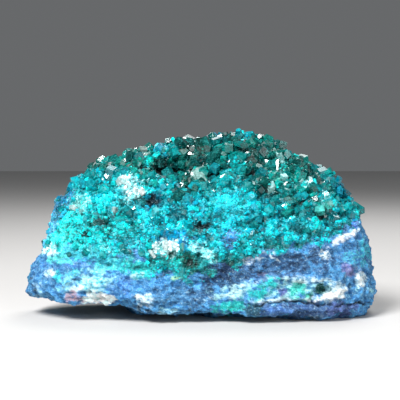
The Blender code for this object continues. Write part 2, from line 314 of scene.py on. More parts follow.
def picture_place(points):
    """Where points of the specimen, in mm, lie in the photograph's 400 by 400 frame."""
    seen = points - np.array(camera_at)
    deep = -(seen @ np.array(camera_back))
    scale = PICTURE * LENS / SENSOR / deep
    across = seen[:, 0] * scale + PICTURE / 2
    down = PICTURE / 2 - (seen @ np.array(camera_up)) * scale
    return across, down


# colours and noise


def linear(code):
    """A colour as written #rrggbb, in linear light."""
    values = [int(code[i : i + 2], 16) / 255 for i in (1, 3, 5)]
    return np.array([v / 12.92 if v <= 0.04045 else ((v + 0.055) / 1.055) ** 2.4 for v in values])


SLOPES = np.array([
    (1, 1, 0), (-1, 1, 0), (1, -1, 0), (-1, -1, 0), (1, 0, 1), (-1, 0, 1), (1, 0, -1), (-1, 0, -1),
    (0, 1, 1), (0, -1, 1), (0, 1, -1), (0, -1, -1), (1, 1, 0), (-1, 1, 0), (0, -1, 1), (0, -1, -1),
])


def lattice_noise(points):
    """Smooth noise about zero: slopes at the corners of a unit lattice, blended between them."""
    base = np.floor(points).astype(np.int64)
    inner = points - base
    fade = inner**3 * (inner * (inner * 6.0 - 15.0) + 10.0)
    total = np.zeros(len(points))
    for corner in product((0, 1), repeat=3):
        at = base + corner
        mixed = (at[:, 0] * 73856093) ^ (at[:, 1] * 19349663) ^ (at[:, 2] * 83492791)
        mixed = (mixed ^ (mixed >> 13)) * 1274126177
        slope = SLOPES[((mixed ^ (mixed >> 16)) >> 7) & 15]
        weight = np.prod(np.where(corner, fade, 1.0 - fade), axis=1)
        total += weight * np.einsum("ij,ij->i", inner - corner, slope)
    return total


def field(points, size, seed, octaves):
    """Smooth noise about zero at each of many points."""
    offset = np.array([seed, seed * 0.37, -seed * 0.71])
    total = np.zeros(len(points))
    for octave in range(octaves):
        total += lattice_noise(points / (size * 0.5**octave) + offset) * 0.55**octave
    return total


def soft_step(low, high, values):
    share = np.clip((values - low) / (high - low), 0.0, 1.0)
    return share * share * (3.0 - 2.0 * share)


# Zones of the crystal crust, each painted over the ones before it.
# What it is, picture place, half width and height, slope, two colours mixed grain by grain, strength.
CRUST_ZONES = (
    ("crown", 228, 158, 112, 30, 0, "#06807c", "#034c4c", 1.0),
    ("left crown", 138, 160, 40, 17, 0, "#129088", "#07645e", 1.0),
    ("middle", 200, 214, 92, 30, 0, "#12c2d4", "#0a8a9c", 1.0),
    ("middle right", 290, 222, 56, 28, 0, "#12aebc", "#087a86", 1.0),
    ("right emerald", 292, 172, 44, 28, -30, "#08827e", "#034e4c", 1.0),
    ("right end", 335, 215, 24, 24, -30, "#1fa9b6", "#0f7c86", 0.9),
    ("right rim", 344, 188, 6, 22, 62, "#4a9ac4", "#1f7a96", 0.8),
    ("bright middle", 228, 200, 22, 26, 0, "#2ccfdc", "#14a0ac", 0.9),
    ("low middle", 196, 240, 76, 13, 0, "#26c0ce", "#0f8c9a", 0.9),
    ("deep middle", 192, 232, 14, 8, 20, "#0d8088", "#075a60", 0.8),
    ("left flank", 96, 208, 44, 40, 0, "#3ccdd6", "#1a9aa4", 1.0),
    ("left glow", 68, 228, 26, 24, 0, "#3ee2e2", "#1fb9bd", 1.0),
    ("low left glow", 60, 236, 14, 12, 0, "#5cf0ea", "#30cfcf", 1.0),
    ("left rim", 56, 214, 8, 34, -24, "#7fb4e2", "#4b9fd0", 0.8),
    ("left specks", 97, 226, 14, 8, 0, "#12989a", "#065a5e", 0.7),
    ("upper left specks", 104, 166, 16, 6, 0, "#0b6f68", "#054842", 0.9),
    ("pale left patch", 81, 204, 9, 8, 0, "#a6ecec", "#4fc6cc", 0.9),
    ("white granular lump", 132, 189, 13, 12, 0, "#d2fafc", "#86e0e8", 1.0),
    # painted shade in the deep gap beside the lump, over the blue of the rock
    ("blue beside the lump, with painted shade", 152, 200, 8, 7, 30, "#0c6f94", "#07485e", 0.9),
    ("teal top", 148, 157, 7, 6, 0, "#3fd0c4", "#159a92", 0.9),
    ("dark clump", 135, 155, 12, 9, 0, "#05625a", "#033a36", 1.0),
    ("pale crest on the left", 161, 150, 6, 4, 0, "#7cc3dc", "#2c9bb4", 0.9),
    ("large dark clump", 189, 151, 17, 14, 0, "#066058", "#02332f", 1.0),
    # painted shade: the deep gap under the crown is coloured near black
    ("gap painted black as shade", 166, 168, 20, 5, 4, "#034a46", "#011f1e", 1.0),
    ("dark under the glint", 194, 178, 15, 9, 0, "#086a62", "#043f3a", 0.9),
    ("dark clump at the foot of the crown", 186, 191, 8, 8, 0, "#0b746e", "#05504a", 0.8),
    ("blue teal crystals", 234, 162, 13, 8, 0, "#2f9ca6", "#107880", 0.8),
    ("lavender crest", 214, 138, 12, 4, -8, "#a9c4ea", "#5f9fd4", 1.0),
    ("teal crest", 240, 137, 20, 4, 4, "#3cb9c4", "#14858e", 0.9),
    ("dark right crown", 264, 152, 20, 11, -20, "#066a64", "#023c38", 0.9),
    ("dark by the pale crystal", 255, 174, 10, 9, 0, "#066560", "#033f3c", 0.9),
    ("pale crystal", 275, 179, 9, 7, 0, "#8fdcd8", "#2fa39e", 0.8),
    ("dark right middle", 268, 190, 10, 8, 0, "#0a6c6c", "#05484a", 0.8),
    ("dark right flank", 312, 205, 18, 10, -35, "#0b7a78", "#064e4e", 0.7),
    ("pale right flank", 325, 201, 7, 8, 0, "#7fd0d0", "#2c9fa2", 0.8),
    ("pale low left", 99, 251, 11, 7, 0, "#a8f0f2", "#50c8d4", 0.9),
    ("cyan low left", 127, 247, 14, 10, 0, "#4cd2e2", "#1fa2b8", 0.9),
    ("violet lump", 232, 238, 9, 8, 0, "#6a9ad2", "#4478b0", 0.9),
    ("blue in the low middle", 172, 240, 22, 8, 0, "#4a9ad0", "#2479ac", 0.7),
    ("white knob", 165, 248, 14, 8.5, -14, "#e6ffff", "#bef4f8", 1.0),
    ("pale knob", 203, 250, 14, 6.5, -32, "#a8e6ee", "#56bcc8", 1.0),
    ("dark green foot", 188, 261, 13, 7, -20, "#0b7a72", "#045049", 1.0),
    ("blue corner on the right", 358, 224, 7, 5, 30, "#6a8fd8", "#4668b8", 1.0),
)
CRUST_FAR = ("#16a0a6", "#0b7478")
CRUST_SEED, ROCK_SEED = 13.0, 41.0

# Patches of mineral in the rock, in the same form.
ROCK_PATCHES = (
    ("left end", 60, 275, 60, 40, 0, "#4a90c4", "#27659a", 1.0),
    ("middle", 165, 283, 52, 34, 0, "#4a94cc", "#27679e", 1.0),
    ("right end", 345, 262, 40, 40, 0, "#4a90c6", "#2b6296", 1.0),
    ("turquoise left", 84, 248, 50, 12, 0, "#3fcad4", "#1f98aa", 0.9),
    ("mottled pale left", 92, 281, 30, 15, 0, "#b2eef4", "#50bedc", 0.9),
    ("blue band on the left", 88, 265, 30, 3.5, 0, "#4b84cc", "#2c5fa4", 0.7),
    ("blue band towards the middle", 132, 249, 14, 5, 10, "#5f9cdc", "#3a7cbc", 0.8),
    ("cyan in the pale left", 74, 274, 10, 7, 0, "#35c9d2", "#4f9fd0", 0.7),
    ("green in the pale left", 104, 268, 12, 5, 0, "#55d0bc", "#6fa8d8", 0.7),
    ("blue in the pale left", 112, 290, 10, 9, 0, "#5c9edc", "#3a74b8", 0.8),
    ("white left foot", 98, 298, 16, 6.5, 0, "#ffffff", "#d8fafc", 1.0),
    ("white left middle", 78, 288, 10, 4, 30, "#e4fafa", "#9fdcea", 0.8),
    ("pinkish left foot", 73, 297, 9, 6, 0, "#c6a6b8", "#6a78a0", 0.9),
    ("white by the left end", 52, 250, 9, 5, 20, "#f2fdfd", "#a2e0ea", 0.9),
    ("cyan in the left end", 57, 290, 9, 6, 0, "#8ad6ee", "#4a9cd4", 0.9),
    ("pale by the left foot", 67, 282, 8, 5, 0, "#94dcec", "#4aa8d4", 0.8),
    ("pale under the white knob", 155, 261, 10, 4.5, 0, "#86c6e4", "#4390c8", 0.9),
    ("cyan by the left end", 58, 277, 5, 7, 0, "#2fd0d8", "#2a9ac0", 0.9),
    ("cyan over the left end", 57, 260, 9, 4, 0, "#5fe6e0", "#2cb4bc", 0.9),
    ("turquoise mottle", 112, 261, 20, 10, 0, "#3ccad0", "#1c94aa", 0.9),
    ("small white by the left end", 50, 273, 5, 4, 0, "#f0ffff", "#a4e0ee", 0.9),
    ("pale left end", 39, 290, 5, 7, 0, "#9ccae8", "#5f9fd0", 0.7),
    ("turquoise knob", 139, 270, 17, 10, -8, "#1fc4c4", "#0f8a92", 1.0),
    ("white rim of the knob", 134, 277, 8, 3, 20, "#c6f2f2", "#5cb8c8", 0.8),
    ("blue under the knob", 126, 286, 8, 11, 0, "#5296dc", "#2b64ac", 0.9),
    ("white under the knob", 145, 297, 9, 7, 0, "#f2fdff", "#8fcce4", 0.9),
    ("dark slate under the knob", 158, 288, 8, 6, 0, "#2e6494", "#1c4468", 0.8),
    ("speckled slate", 181, 297, 30, 10, -4, "#4a86b4", "#28557c", 1.0),
    ("frosty foot", 170, 311, 14, 4, 0, "#a6dcea", "#3f8cb8", 0.8),
    ("green foot of the knobs", 187, 262, 17, 10, -24, "#0c8078", "#05564e", 1.0),
    ("turquoise tongue", 184, 278, 14, 4, -35, "#1fb4b8", "#1a7f92", 0.9),
    ("yellow green streak", 177, 278, 8, 2.2, 12, "#a4d08a", "#3f9a80", 0.8),
    ("white knob", 165, 249, 11, 6.5, -14, "#e4feff", "#a0e4ea", 1.0),
    ("pale knob", 203, 251, 13, 6, -32, "#a8e6ea", "#4fb4c0", 1.0),
    ("slate band", 232, 276, 38, 12, 24, "#356690", "#1a3454", 1.0),
    ("slate band to the right", 288, 262, 52, 14, 10, "#3f6f9e", "#223f62", 1.0),
    ("dark foot of the band", 204, 292, 18, 12, 40, "#35648e", "#1e3f62", 0.9),
    ("dark heart of the band", 222, 275, 17, 6, 30, "#244872", "#132a4a", 0.9),
    ("red brown stain", 262, 275, 6, 2, 0, "#6a4a58", "#33405e", 0.6),
    ("lens", 286, 291, 64, 9.5, 2, "#9fdae4", "#3f8ab0", 1.0),
    ("slate over the lens", 258, 281, 20, 3.6, 8, "#4a84b8", "#2a5480", 0.9),
    ("slate right of the band", 322, 270, 13, 5, 10, "#3a6a9a", "#203c60", 0.9),
    ("turquoise in the lens", 262, 291, 17, 8, 18, "#1fc4c4", "#128e98", 1.0),
    ("pale left of the lens", 236, 292, 11, 7, 30, "#c4eef2", "#5ea6c8", 0.8),
    ("blue in the lens", 246, 300, 10, 3, 10, "#4a90cc", "#2c6aa8", 0.7),
    ("violet in the lens", 281, 292, 5, 4, 0, "#6a6cae", "#3c4f8c", 0.9),
    ("white in the lens", 273, 300, 12, 2.4, 5, "#e6fafc", "#7cb8d4", 0.8),
    ("sea green beside the pocket", 298, 291, 7, 8, 0, "#43c9bc", "#1c8f8e", 1.0),
    ("white over the pocket", 312, 280, 18, 2.8, 2, "#e2f6fa", "#6ea8c8", 0.8),
    ("white beside the pocket", 334, 295, 14, 5, 22, "#f6feff", "#b4dcec", 1.0),
    ("white at the end of the lens", 339, 286, 8, 4, 0, "#dcf0f8", "#7caccc", 0.8),
    ("dark pocket", 320, 290, 8, 5.5, 20, "#0a5c54", "#032a28", 1.0),
    ("green tail of the pocket", 308, 297, 7, 4, 40, "#3fb49c", "#14705e", 0.9),
    ("cyan green foot", 231, 307, 18, 6.5, 4, "#22c2bc", "#118c92", 1.0),
    ("dark under the tail", 309, 302, 12, 3, 0, "#2c6a80", "#173f58", 0.8),
    ("slate ledge", 302, 311, 50, 9, 2, "#4a72a6", "#2f4e80", 1.0),
    ("blue on the ledge", 282, 312, 18, 5, 0, "#5a8fd0", "#3f6cb0", 0.8),
    ("layered chip", 315, 318, 8, 3, 0, "#7c98b4", "#3c5878", 0.9),
    ("dark by the cyan foot", 253, 311, 9, 5, 0, "#2f6478", "#163a4c", 0.9),
    ("violet foot", 348, 308, 18, 5, 10, "#5f74b4", "#40508a", 0.8),
    ("cyan on the right end", 356, 257, 10, 9, 30, "#46bcd2", "#3f7fc0", 0.8),
    ("violet on the right end", 349, 270, 8, 6, 0, "#8f84b8", "#5a6cac", 0.8),
    ("white on the right end", 361, 280, 5, 6, 0, "#f2fcff", "#a4d4ec", 0.9),
    ("turquoise right edge", 364, 248, 5, 9, 0, "#3cc0cc", "#2f8cb8", 0.8),
    ("white on the right", 326, 254, 7, 4, 25, "#ecfaff", "#4f90bc", 0.8),
    ("lavender over the band", 262, 254, 20, 4, 14, "#9fb4e0", "#4f86c4", 0.8),
    ("flecks over the band", 258, 257, 15, 4, 10, "#e4f6fc", "#5f98d0", 0.6),
)
ROCK_FAR = ("#4f9ad0", "#2b6aa4")

# Thin marks: what it is, its line in the picture, half width, colour, strength and how far it stands out.
# The dark ones in the crack, under the knobs and the step, along the foot and on the left rim are painted
# shade.
ROCK_LINES = (
    ("white strip", ((335, 243), (343, 238), (350, 233), (357, 230)), 2.2, "#f8ffff", 1.0, 0.9),
    ("curved white streak", ((250, 256), (262, 253), (270, 255), (277, 260)), 0.9, "#e6f8fc", 0.9, 0.3),
    ("bright blue edge of the band", ((247, 282), (268, 277), (292, 274), (320, 279)),
     1.0, "#6fa8ea", 0.4, 0.2),
    ("upper edge of the lens", ((204, 301), (229, 293), (249, 284), (273, 279), (302, 277)),
     0.9, "#cfeef4", 0.5, 0.3),
    ("lower edge of the lens", ((250, 303), (280, 299), (310, 300), (344, 296)), 1.0, "#e4f6fa", 0.6, 0.3),
    ("white tongue", ((317, 300), (330, 296), (346, 290)), 2.0, "#f6feff", 0.9, 0.9),
    # painted shade in the crack
    ("crack over the ledge",
     ((256, 306), (268, 303), (284, 301), (306, 303), (330, 305), (352, 304), (372, 303)),
     1.1, "#0b1626", 1.0, -1.5),
    # painted shade under the knobs
    ("dark line under the knobs", ((157, 277), (172, 272), (188, 266), (202, 258)),
     1.0, "#083a48", 0.8, -0.8),
    # painted shadow line along the left foot
    ("dark line by the left foot", ((112, 303), (122, 306), (134, 309), (150, 312)),
     1.2, "#14243a", 0.9, -1.0),
    # painted shade along the left rim
    ("dark left rim", ((31, 272), (32, 284), (36, 296), (44, 302)), 1.3, "#2c3a52", 0.7, -0.3),
    # painted shadow along the foot of the middle
    ("dark foot of the middle", ((150, 312), (180, 316), (206, 313), (222, 317)), 1.2, "#182a3c", 0.8, -0.4),
    # painted shade under the step on the ledge
    ("step on the ledge", ((262, 316), (290, 314), (318, 313), (345, 312)), 0.8, "#243a5c", 0.7, -0.5),
    ("blue line on the left", ((36, 268), (52, 262), (70, 259), (96, 260)), 1.0, "#3f6fb8", 0.7, 0.0),
)


GRAIN_EDGE = 0.12  # noise values between which a grain passes into the next
ZONE_REACH = 2.2  # a zone is worked out as far as this many half sizes
ZONE_EDGE = (0.72, 1.12)  # a zone fades out between these
BROAD_RAGS, FINE_RAGS = (9.0, 0.8), (2.6, 0.7)  # what makes its edge ragged: size in mm, strength


def grains(points, size, seed):
    """0 or 1 nearly everywhere, in grains of about a size: which of two colours a point has."""
    return soft_step(-GRAIN_EDGE, GRAIN_EDGE, field(points, size, seed, 3))


def out_of_zone(place, at_x, at_y, half_x, half_y, tilt):
    """How far out each place in the picture is from a tilted zone's middle: 1 on its edge."""
    slope = math.radians(tilt)
    x, y = place[0] - at_x, -(place[1] - at_y)
    u = (x * math.cos(slope) + y * math.sin(slope)) / half_x
    v = (y * math.cos(slope) - x * math.sin(slope)) / half_y
    return np.sqrt(u * u + v * v)


def near_zone(place, at_x, at_y, half_x, half_y):
    """A bell over a zone: 1 in its middle, towards 0 away from it."""
    return np.exp(-(((place[0] - at_x) / half_x) ** 2 + ((place[1] - at_y) / half_y) ** 2))


def painted(points, zones, far, seed):
    """Each point's light and dark colour: zones painted one over the other, each with a ragged edge."""
    place = picture_place(points)
    broad = field(points, BROAD_RAGS[0], seed, 2)
    fine = field(points, FINE_RAGS[0], seed + 9.0, 2)
    pair = [np.tile(linear(code), (len(points), 1)) for code in far]
    for _, *zone, light, dark, strength in zones:
        away = out_of_zone(place, *zone)
        near = away < ZONE_REACH
        edge = away[near] + broad[near] * BROAD_RAGS[1] + fine[near] * FINE_RAGS[1]
        share = (strength * (1.0 - soft_step(*ZONE_EDGE, edge)))[:, None]
        for colour, code in zip(pair, (light, dark)):
            colour[near] = linear(code) * share + colour[near] * (1 - share)
    return pair


LINE_WANDER = 3.0  # how far a thin mark strays from its line, in px


def line_share(points, line, half_width, seed):
    """How far each point is on a thin mark: 1 on its line, 0 away from it."""
    across, down = picture_place(points)
    across = across + field(points, 5.0, seed, 2) * LINE_WANDER
    down = down + field(points, 5.0, seed + 3.0, 2) * LINE_WANDER
    nearest = np.full(len(points), 1e9)
    for (x0, y0), (x1, y1) in zip(line, line[1:]):
        run, fall = x1 - x0, y1 - y0
        along = np.clip(((across - x0) * run + (down - y0) * fall) / math.hypot(run, fall) ** 2, 0.0, 1.0)
        nearest = np.minimum(nearest, np.hypot(across - x0 - along * run, down - y0 - along * fall))
    return 1.0 - soft_step(half_width * 0.6, half_width * 1.5, nearest)


# meshes


def deselect():
    for each in bpy.context.selected_objects:
        each.select_set(False)


def finish_piece(piece, material):
    """Into metres, with its material, on the specimen's body and in its slot."""
    piece.data.transform(Matrix.Scale(MM, 4) @ Matrix.Translation(TO_MIDDLE))
    piece.data.materials.append(material)
    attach(piece, "root")


FRONT_FINENESS = 1.9  # how much closer the front's vertices are than the back's


def even_angles(count):
    """Angles about Z that space points evenly along the rock's outline, and closer on the front."""
    fine = np.linspace(-math.pi, math.pi, 2881)
    outline = np.array([tuple(bare_point(angle, 0.4))[:2] for angle in fine])
    steps = np.linalg.norm(np.diff(outline, axis=0), axis=1)
    on_front = np.sin((fine[1:] + fine[:-1]) / 2) < 0.0
    reach = np.concatenate(([0.0], np.cumsum(steps * np.where(on_front, FRONT_FINENESS, 1.0))))
    return np.interp(np.arange(count) / count * reach[-1], reach, fine)


def spherical_rock(around, rings):
    """The rock's surface at a fine step, and its vertices' places."""
    deselect()
    bpy.ops.mesh.primitive_uv_sphere_add(segments=around, ring_count=rings, radius=1.0)
    rock = bpy.context.object
    mesh = rock.data
    places = np.empty(len(mesh.vertices) * 3)
    mesh.vertices.foreach_get("co", places)
    places = places.reshape(-1, 3)
    angles = even_angles(around)
    shaped = np.empty_like(places)
    for i, (x, y, z) in enumerate(places):
        step = int(round((math.atan2(y, x) + math.pi) / math.tau * around)) % around
        up = even_up(0.5 + math.asin(max(-1.0, min(1.0, z))) / math.pi)
        shaped[i] = rock_point(angles[step], up)
    mesh.vertices.foreach_set("co", shaped.ravel())
    mesh.update()
    return rock, shaped


def normals_of(mesh):
    """The normals of a mesh's vertices."""
    values = np.empty(len(mesh.vertices) * 3)
    mesh.vertex_normals.foreach_get("vector", values)
    return values.reshape(-1, 3)


LEFT_BARE = 7.0  # on the left of the front the crust ends this much higher, in a mottled fringe


def crust_share(points):
    """How far each point is above the edge of the crystal crust, in mm."""
    above = np.array([p[2] - crust_edge(p[0], p[1]) for p in points])
    on_left = (1.0 - soft_step(-36.0, -20.0, points[:, 0])) * (1.0 - soft_step(-10.0, 10.0, points[:, 1]))
    return above - LEFT_BARE * on_left


FRINGE = (6.0, 5.0, 2)  # the crust's wandering edge: noise size in mm, seed, octaves
FRINGE_HEIGHT = 7.0


def inside_fringe(points):
    """How far each point is above the crust's edge where that wanders up and down."""
    return crust_share(points) + field(points, *FRINGE) * FRINGE_HEIGHT


def pocket_depth(points):
    """How deep each point would lie in the pocket: 0 outside, 1 at its middle."""
    turn = np.array(Matrix.Rotation(-POCKET_TURN, 3, "Y"))
    local = (points - np.array(POCKET_AT)) @ turn.T / np.array(POCKET_HALF)
    return np.clip(1.0 - np.linalg.norm(local, axis=1), 0.0, 1.0)


ROCK_AROUND, ROCK_RINGS = ((470, 214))
rock, rock_places = spherical_rock(ROCK_AROUND, ROCK_RINGS)
rock_ways = normals_of(rock.data)
facing = soft_step(-0.15, 0.35, -rock_ways[:, 1])
marks = [line_share(rock_places, line, half, 200.0 + i) * facing
         for i, (_, line, half, *_) in enumerate(ROCK_LINES)]
in_crust = np.clip((crust_share(rock_places) + 2.0) / 5.0, 0.0, 1.0)

# Gaps between crystals, pressed in and painted dark as shade: what they are, picture place, half width and
# height, slope and depth.
GAPS = (
    ("under the crown", 167, 168, 20, 4.5, -3, 3.2),
    ("above it", 174, 160, 7, 4, 0, 2.6),
    ("right of the glint", 212, 172, 7, 5, 30, 2.2),
    ("deep blue by the lump", 152, 200, 6, 5, 30, 2.2),
    ("under the left clump", 143, 166, 8, 3.5, 0, 2.4),
    ("by the pale crystal", 256, 174, 7, 5, 20, 2.6),
    ("under the pale crystal", 270, 189, 9, 4, -20, 2.2),
    ("right middle", 300, 205, 6, 9, -30, 2.0),
    ("in the middle", 188, 192, 5, 7, 10, 2.2),
    ("low in the middle", 203, 226, 7, 4, 20, 1.8),
    ("left specks", 100, 221, 8, 4, -10, 1.8),
    ("lower left specks", 86, 233, 6, 4, 0, 1.8),
    ("foot of the knobs", 189, 261, 6, 3, -25, 1.5),
    ("right flank", 322, 214, 5, 7, -35, 1.8),
)
# Places where the outline is drawn in: picture place, half width and height, and depth.
DENTS = (
    ("left shoulder", 58, 178, 16, 24, 5.5),
    ("right shoulder", 326, 168, 20, 16, 5.0),
    ("over the right crown", 300, 150, 14, 8, 2.5),
    ("left plateau", 66, 160, 14, 10, 3.0),
    ("left of the crest", 207, 134, 15, 10, 5.0),
    ("right rim", 354, 190, 15, 14, 4.0),
    ("right of the crest", 268, 137, 10, 8, 2.5),
)


def dent_depth(points):
    """How far each point is pressed in by the dents."""
    place = picture_place(points)
    return sum(depth * near_zone(place, *zone) for _, *zone, depth in DENTS)


def gap_share():
    """How far each point of the rock is in a gap, and how deep it is pressed in there."""
    share, deep = np.zeros(len(rock_places)), np.zeros(len(rock_places))
    place = picture_place(rock_places)
    ragged = field(rock_places, 3.0, 71.0, 2) * 0.8
    for _, *zone, depth in GAPS:
        own = (1.0 - soft_step(0.6, 1.3, out_of_zone(place, *zone) + ragged)) * facing
        share, deep = np.maximum(share, own), np.maximum(deep, own * depth)
    return share, deep


in_gap, gap_depth = gap_share()

# Noises of the rock's fine relief: size in mm, seed, octaves.
GRAIN, CRUMB, RIDGE = (3.2, 3.0, 3), (1.5, 11.0, 2), (6.0, 17.0, 2)
LEDGE, SWELL = (5.0, 29.0, 2), (8.0, 23.0, 2)
RIDGE_LEVEL, LEDGE_STRETCH = 0.22, np.array([0.35, 0.7, 1.6])
# How high each stands, in mm, on the bare matrix and under the crystals.
MATRIX_HEIGHTS = {"grain": 1.0, "ridge": 1.4, "ledge": 0.9, "crumb": 0.55}
CRUST_HEIGHTS = {"swell": 2.6, "grain": 1.3, "ridge": 0.9, "crumb": 0.9}
CRUST_SUNK, POCKET_SUNK = 0.2, 5.5
CRUST_SHAKE = 0.2  # how far the crust's own facets are shaken
FRONT_MOST, BACK_MOST = -43.6, 42.7  # nothing stands further out at the front and back


def roughen():
    """Grain, ledges and pits on the rock, finer than its lumps: the places, and how far each is raised."""
    noises = {
        "grain": field(rock_places, *GRAIN),
        "crumb": field(rock_places, *CRUMB),
        "ridge": RIDGE_LEVEL - np.abs(field(rock_places, *RIDGE)),
        "ledge": field(rock_places * LEDGE_STRETCH, *LEDGE),
        "swell": field(rock_places, *SWELL),
    }
    matrix_out = sum(noises[kind] * height for kind, height in MATRIX_HEIGHTS.items())
    crust_out = sum(noises[kind] * height for kind, height in CRUST_HEIGHTS.items()) - CRUST_SUNK
    out = matrix_out * (1.0 - in_crust) + crust_out * in_crust
    for share, (*_, stands) in zip(marks, ROCK_LINES):
        out = out + share * stands * (1.0 - in_crust)
    out -= gap_depth + dent_depth(rock_places)
    inner = np.sqrt(pocket_depth(rock_places))
    moved = rock_places + rock_ways * (out * (1.0 - inner))[:, None]
    moved += np.random.default_rng(3).normal(0.0, CRUST_SHAKE, moved.shape) * in_crust[:, None]
    moved[:, 1] = np.clip(moved[:, 1] + inner * POCKET_SUNK, FRONT_MOST, BACK_MOST)
    return moved, out


rock_bare = rock_places
rock_places, rock_rise = roughen()
rock.data.vertices.foreach_set("co", rock_places.ravel())
rock.data.update()
rock_ways = normals_of(rock.data)

# Colours away from the photographed front, in clouds drawn out into bands that rise to the right:
# what they are, noise size, seed, gain, shift and the two colours.
BACK_CLOUDS = (
    ("slate", 15.0, 61.0, 3.4, 0.1, "#386490", "#213e5e"),
    ("turquoise", 12.0, 67.0, 3.8, -0.5, "#37a8b6", "#1a8294"),
    ("pale", 7.0, 71.0, 4.0, -1.1, "#bfe2ee", "#6fb0d0"),
    ("brown", 9.0, 79.0, 4.4, -1.6, "#7c746e", "#43454e"),
)
BACK_BANDS = np.array([[0.5, 0.0, -0.22], [0.0, 0.8, 0.0], [0.0, 0.0, 1.3]])
# painted shade: the ground between and under the crystals is darker than they are
GROUND_SHADE_SHARE = 0.9  # the ground under the crystals has this much of their light
# how dark the gaps between crystals are painted, as shade
GAP_PAINTED_SHADE = 1.6


def rock_colours():
    """The rock's light and dark colour at each vertex, which its material mixes grain by grain."""
    points = rock_bare
    front = painted(points, ROCK_PATCHES, ROCK_FAR, ROCK_SEED)
    broken = between(0.3, 1.0, grains(points, 2.0, 87.0))
    for share, (_, _, _, code, strength, _) in zip(marks, ROCK_LINES):
        own = (share * strength * broken)[:, None]
        front = [linear(code) * own + colour * (1 - own) for colour in front]
    away = [np.tile(linear(code), (len(points), 1)) for code in ROCK_FAR]
    banded = points @ BACK_BANDS
    for _, size, seed, gain, shift, *codes in BACK_CLOUDS:
        cloud = np.clip(field(banded, size, seed, 3) * gain + shift, 0, 1)[:, None]
        away = [colour * (1 - cloud) + linear(code) * cloud for colour, code in zip(away, codes)]
    front_share = soft_step(-0.1, 0.5, -rock_ways[:, 1])[:, None]
    # under the crystals the ground is their own colour, darkened as painted shade
    crust = soft_step(-0.5, 1.5, inside_fringe(points))[:, None]
    ground = painted(points, CRUST_ZONES, CRUST_FAR, CRUST_SEED)
    # painted shade and light: hollows and gaps darker, raised grains lighter
    raised = np.clip(rock_rise, -1.2, 1.0) * between(0.3, 0.5, in_crust)
    relief = np.exp(raised - in_gap * GAP_PAINTED_SHADE)[:, None]
    made = []
    for front_colour, away_colour, ground_colour in zip(front, away, ground):
        bare = front_colour * front_share + away_colour * (1 - front_share)
        made.append(np.clip((bare * (1 - crust) + ground_colour * GROUND_SHADE_SHARE * crust) * relief, 0.0, 1.0))
    return made


def write_tint(mesh, colours, domain, name="tint"):
    """Colours as an attribute that the materials read."""
    tint = mesh.color_attributes.new(name, "FLOAT_COLOR", domain)
    full = np.ones((len(colours), 4))
    full[:, :3] = colours
    tint.data.foreach_set("color", full.ravel())


for layer, layer_colours in zip(("tint", "shade"), rock_colours()):
    write_tint(rock.data, layer_colours, "POINT", layer)


# one crystal, modelled once


def crystal_template():
    """A six-sided prism with a three-faced tip at the top: apex at 0, root below."""
    deselect()
    bpy.ops.mesh.primitive_cylinder_add(vertices=6, radius=1.0, depth=3.0, location=(0, 0, -1.5))
    one = bpy.context.object
    bpy.ops.object.mode_set(mode="EDIT")
    flat = math.sin(TIP_TILT)
    for third in range(3):
        turn = third * math.tau / 3 + math.pi / 2
        face_way = (flat * math.cos(turn), flat * math.sin(turn), math.cos(TIP_TILT))
        bpy.ops.mesh.select_all(action="SELECT")
        bpy.ops.mesh.bisect(
            plane_co=(0, 0, 0), plane_no=face_way, use_fill=True, clear_outer=True, threshold=1e-5
        )
    bpy.ops.mesh.select_all(action="SELECT")
    bpy.ops.mesh.remove_doubles(threshold=1e-3)
    bpy.ops.mesh.dissolve_limited(angle_limit=math.radians(1.0))
    bpy.ops.mesh.normals_make_consistent(inside=False)
    bpy.ops.object.mode_set(mode="OBJECT")
    points = np.array([tuple(one.matrix_world @ v.co) for v in one.data.vertices])
    faces = [tuple(p.vertices) for p in one.data.polygons]
    bpy.data.objects.remove(one, do_unlink=True)
    return points, faces


TIP_POINTS, TIP_FACES = crystal_template()


def turn_towards(axes, spins):
    """A rotation for each crystal that sets +Z along its axis, after a spin about it."""
    z = axes / np.linalg.norm(axes, axis=1)[:, None]
    helper = np.where(np.abs(z[:, :1]) < 0.9, np.array([[1.0, 0, 0]]), np.array([[0, 1.0, 0]]))
    x = np.cross(helper, z)
    x /= np.linalg.norm(x, axis=1)[:, None]
    y = np.cross(z, x)
    c, s = np.cos(spins)[:, None], np.sin(spins)[:, None]
    return np.stack((x * c + y * s, y * c - x * s, z), axis=2)


CRYSTAL_TOP = 101.0  # no crystal's tip stands higher
# painted light and shade: each face of a crystal is made lighter or darker at random, standing in for facets
# that catch the light
FACE_PAINTED_LIGHT_SPREAD = 0.12  # how much a crystal's faces differ in light


def crystal_points(feet, axes, radii, rises, spins, stretch):
    """The corners of many crystals, none of them past the specimen's own box."""
    room = (CRYSTAL_TOP - feet[:, 2]) / np.maximum(axes[:, 2], 0.2)
    rises = np.minimum(rises, np.maximum(room, 0.0))
    scaled = TIP_POINTS[None, :, :] * radii[:, None, None]
    scaled[:, :, 1] *= stretch[:, None]
    turned = np.einsum("nij,nkj->nki", turn_towards(axes, spins), scaled)
    points = turned + (feet + axes * rises[:, None])[:, None, :]
    points[:, :, 1] += np.maximum(FRONT_MOST - points[:, :, 1].min(axis=1), 0.0)[:, None]
    points[:, :, 1] -= np.maximum(points[:, :, 1].max(axis=1) - BACK_MOST, 0.0)[:, None]
    return points


